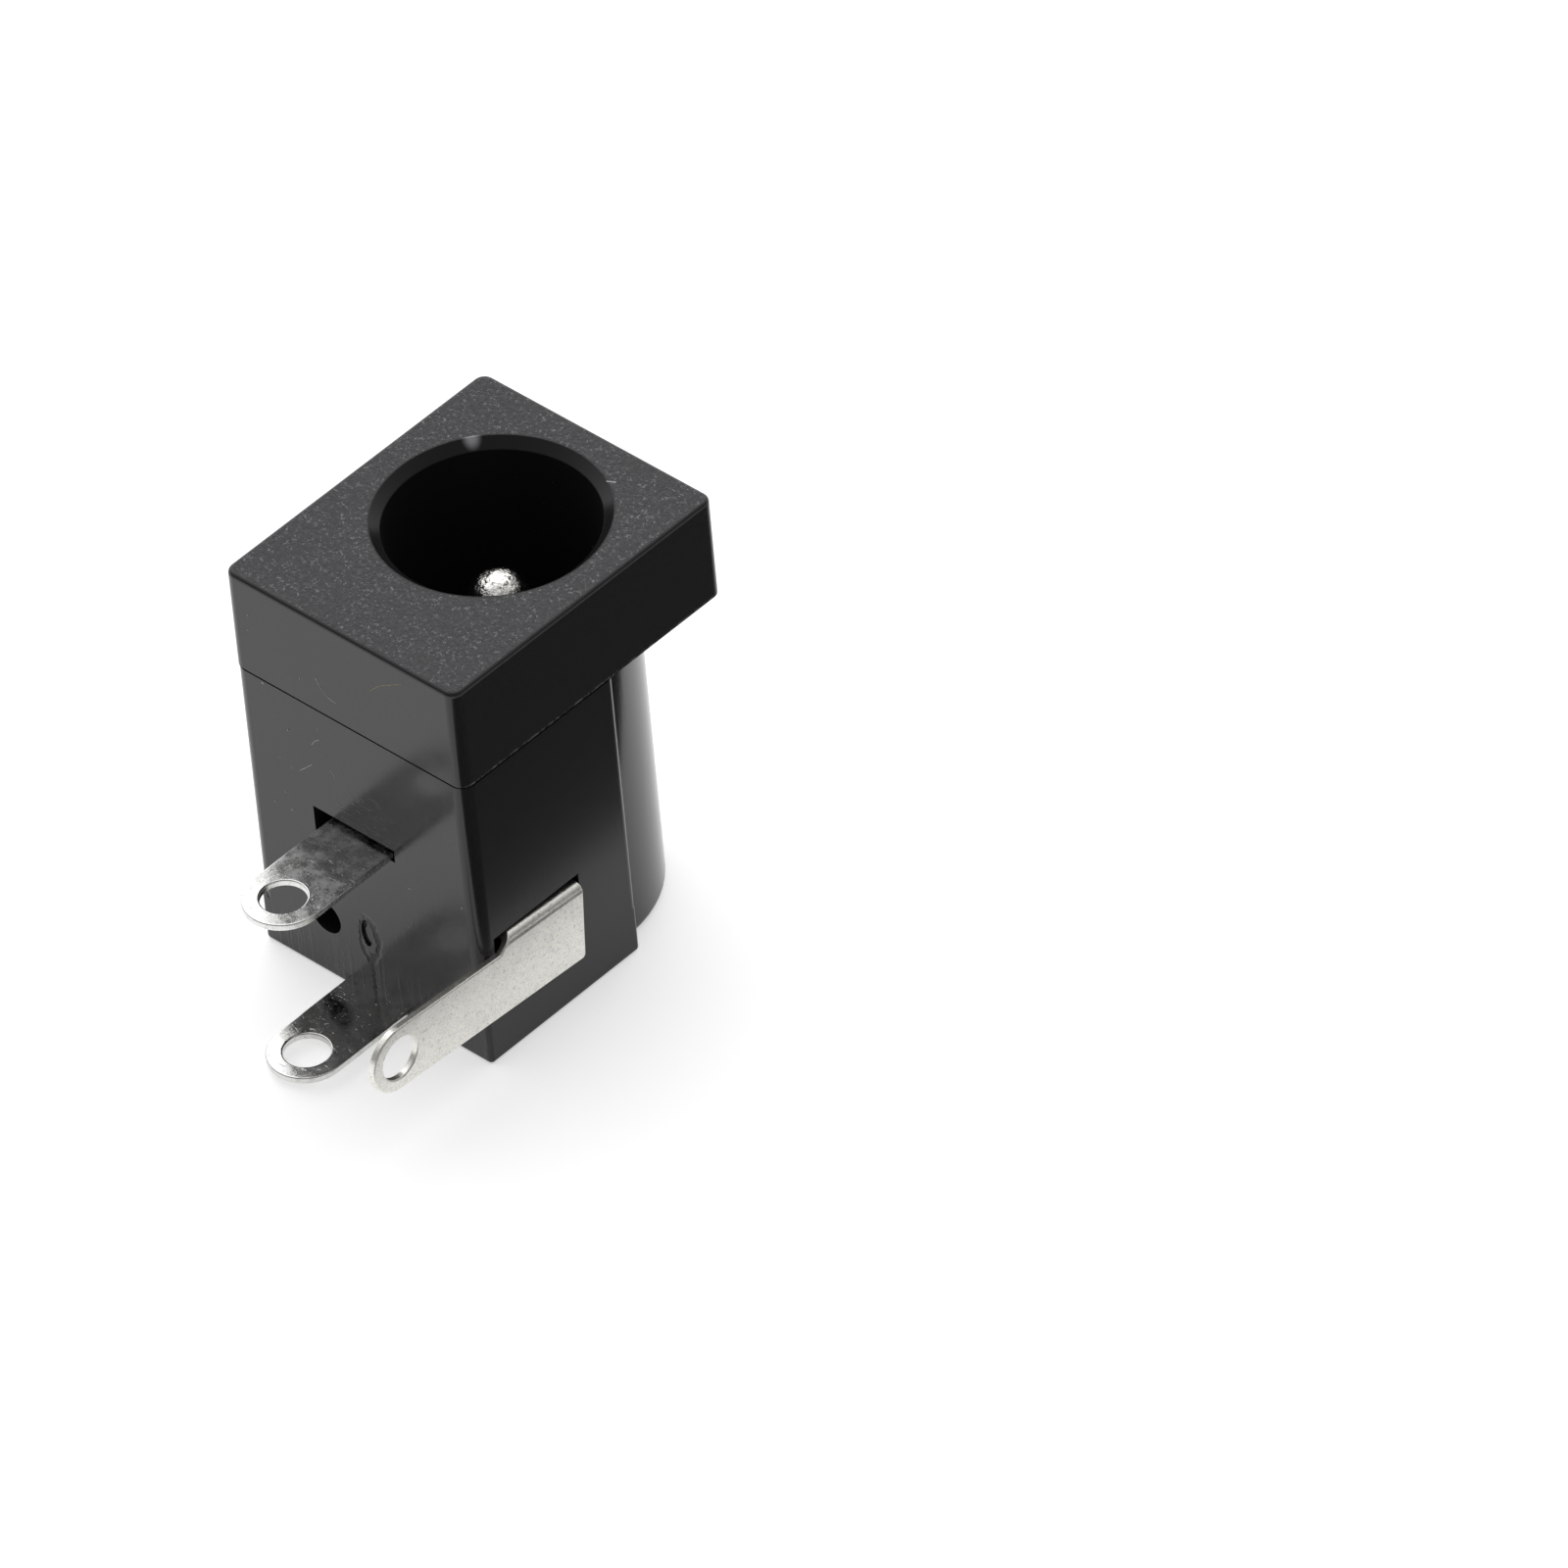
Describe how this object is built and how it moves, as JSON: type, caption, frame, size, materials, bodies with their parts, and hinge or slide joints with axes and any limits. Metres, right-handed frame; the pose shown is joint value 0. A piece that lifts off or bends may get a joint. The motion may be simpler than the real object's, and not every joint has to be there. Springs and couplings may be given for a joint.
{
  "type": "dc barrel jack",
  "caption": "Square-bodied dc power socket with a round bore, a centre pin and flat solder tabs; one tab belongs to a switch that opens when a plug goes in.",
  "frame": {"origin": "the mating axis in the plane of the mouth face", "axes": "+Z out of the mouth along the mating axis, -Y towards the board face where the sleeve and pin tabs leave, +X towards the side that carries the switch terminal"},
  "size_m": [0.0092, 0.0157, 0.0141],
  "materials": {
    "housing": "fine spark texture on the mouth face, smoother satin on the sides",
    "pin_plate": "turned brass, bright nickel plate",
    "tab_plate": "stamped sheet, bright tin plate with light scuffs"
  },
  "bodies": {
    "root": {"housing": "housing", "centre_pin": "pin_plate", "pin_terminal": "tab_plate", "sleeve_terminal": "tab_plate", "switch_terminal": "tab_plate"}
  },
  "joints": []
}
